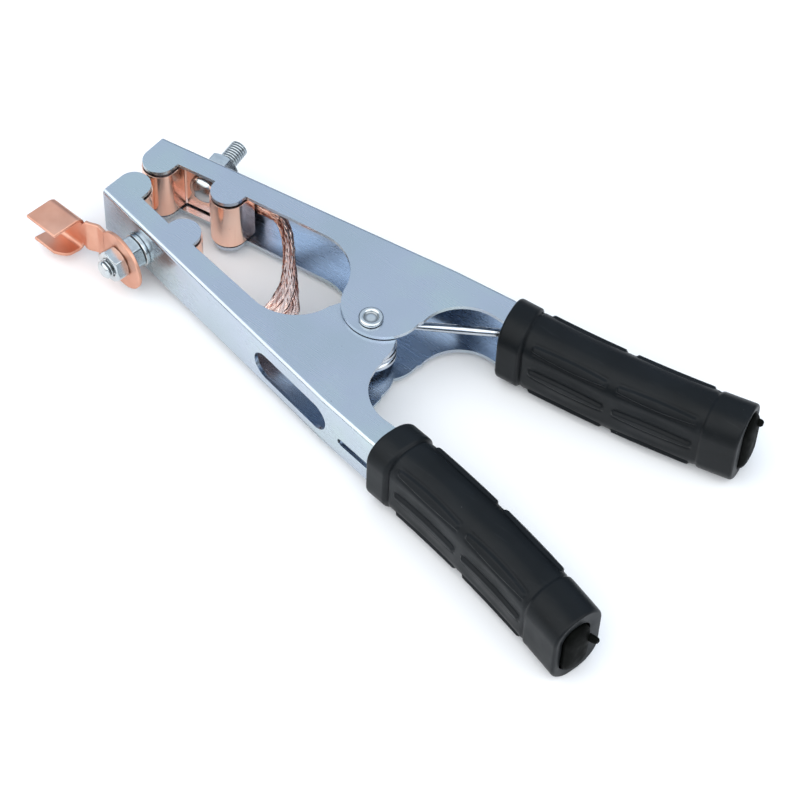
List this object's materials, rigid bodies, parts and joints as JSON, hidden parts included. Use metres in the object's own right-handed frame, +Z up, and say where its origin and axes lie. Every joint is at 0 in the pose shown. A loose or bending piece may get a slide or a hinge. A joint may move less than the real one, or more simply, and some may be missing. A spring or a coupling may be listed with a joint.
{
  "type": "ground clamp",
  "caption": "Sprung ground clamp with nested sheet-steel levers, copper jaw pads joined by a braid, a bolted cable lug and black ribbed grips.",
  "frame": {"origin": "middle of the clamp's underside, as it lies flat with its jaws closed", "axes": "+X from the jaws towards the handles, +Y towards the outer lever, which has no cable lug, +Z up along the hinge axis"},
  "size_m": [0.2254, 0.1044, 0.0268],
  "materials": {
    "zinc_sheet": "bright zinc plate, satin",
    "bright_zinc": "bright zinc plate",
    "spring_steel": "bright drawn wire",
    "copper_strip": "rolled copper, satin",
    "braid_copper": "bare copper braid",
    "lug_copper": "pickled copper, matte",
    "grip_vinyl": "dipped vinyl, semi-gloss",
    "plug_rubber": "moulded rubber"
  },
  "bodies": {
    "inner_lever": {"inner_arm": "zinc_sheet", "inner_jaw_pad": "copper_strip", "inner_terminal_bolt": "bright_zinc", "inner_terminal_washer": "bright_zinc", "inner_terminal_nut": "bright_zinc", "inner_braid_eyelet": "braid_copper", "inner_grip": "grip_vinyl", "inner_grip_plug": "plug_rubber", "cable_lug": "lug_copper", "lug_nut": "bright_zinc", "pivot_rivet": "bright_zinc", "pivot_bush": "zinc_sheet", "torsion_spring": "spring_steel", "braid": "braid_copper"},
    "outer_lever": {"outer_arm": "zinc_sheet", "outer_jaw_pad": "copper_strip", "outer_terminal_bolt": "bright_zinc", "outer_terminal_washer": "bright_zinc", "outer_terminal_nut": "bright_zinc", "outer_braid_eyelet": "braid_copper", "outer_grip": "grip_vinyl", "outer_grip_plug": "plug_rubber"}
  },
  "joints": [
    {"name": "jaw_hinge", "type": "hinge", "parent": "inner_lever", "child": "outer_lever", "pos_m": [-0.0018, 0.00067, 0.0134], "axis": [0, 0, -1], "range_deg": [0, 34], "stiffness_Nm_per_rad": 3, "springref_deg": -28.65, "deforming": ["torsion_spring", "braid"]}
  ]
}
